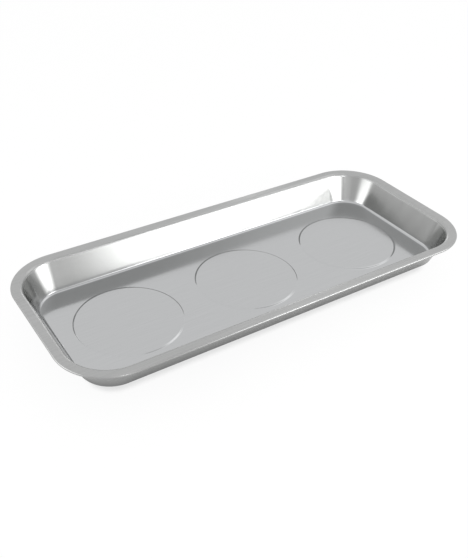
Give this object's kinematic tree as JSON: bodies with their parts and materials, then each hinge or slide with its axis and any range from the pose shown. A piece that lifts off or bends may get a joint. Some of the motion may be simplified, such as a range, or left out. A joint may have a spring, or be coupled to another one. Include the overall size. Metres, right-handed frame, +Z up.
{
  "type": "magnetic parts tray",
  "caption": "Long shallow stainless steel tray with rounded corners, leaning walls and a hemmed rim, on ring magnets in rubber boots that hold steel hardware in it and hold it to steel.",
  "frame": {"origin": "centre of the tray's footprint, on the ground under the rubber boots", "axes": "+X along the tray's length, +Y across it, +Z up out of the open pan"},
  "size_m": [0.36, 0.16, 0.0349],
  "materials": {
    "stainless": "bright satin stainless sheet",
    "ferrite": "ground sintered ferrite, dark grey",
    "zinc_plated": "bright zinc-plated steel",
    "rubber": "moulded black rubber, matt"
  },
  "bodies": {
    "root": {"tray_pan": "stainless", "left_weld_stud": "zinc_plated", "left_magnet_ring": "ferrite", "left_clamp_plate": "zinc_plated", "left_rubber_boot": "rubber", "left_washer": "zinc_plated", "left_lock_nut": "zinc_plated", "centre_weld_stud": "zinc_plated", "centre_magnet_ring": "ferrite", "centre_clamp_plate": "zinc_plated", "centre_rubber_boot": "rubber", "centre_washer": "zinc_plated", "centre_lock_nut": "zinc_plated", "right_weld_stud": "zinc_plated", "right_magnet_ring": "ferrite", "right_clamp_plate": "zinc_plated", "right_rubber_boot": "rubber", "right_washer": "zinc_plated", "right_lock_nut": "zinc_plated"}
  },
  "joints": []
}
